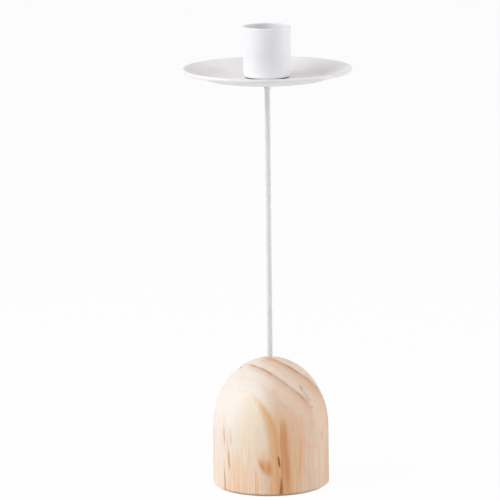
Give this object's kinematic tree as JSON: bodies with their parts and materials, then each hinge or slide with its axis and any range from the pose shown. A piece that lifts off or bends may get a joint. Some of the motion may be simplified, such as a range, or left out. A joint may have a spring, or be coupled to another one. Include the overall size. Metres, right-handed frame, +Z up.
{
  "type": "candle stand",
  "caption": "Tall single candle stand: domed wood base, thin steel stem, dished drip plate and a socket cup for a dinner candle.",
  "frame": {"origin": "centre of the underside of the foot pad, on the stem's axis; the stand rests on Z = 0", "axes": "+Z up along the stem; the stand is turned about Z, so X and Y are free; the picture looks along +Y"},
  "size_m": [0.0934, 0.0934, 0.2568],
  "materials": {
    "felt": "dense undyed felt, warm beige",
    "wood": "pale softwood, sanded and left nearly bare",
    "insert_brass": "turned",
    "zinc_steel": "bright zinc plated",
    "white_coat": "white satin powder coat",
    "dark_fibre": "matt black fibre washer"
  },
  "bodies": {
    "root": {"foot_pad": "felt", "wood_base": "wood", "threaded_insert": "insert_brass", "lock_washer": "zinc_steel", "lock_nut": "zinc_steel", "stem_rod": "white_coat", "plate_hub": "white_coat", "drip_plate": "white_coat", "seat_washer": "dark_fibre", "candle_cup": "white_coat", "screw_washer": "zinc_steel", "cup_screw": "zinc_steel"}
  },
  "joints": []
}
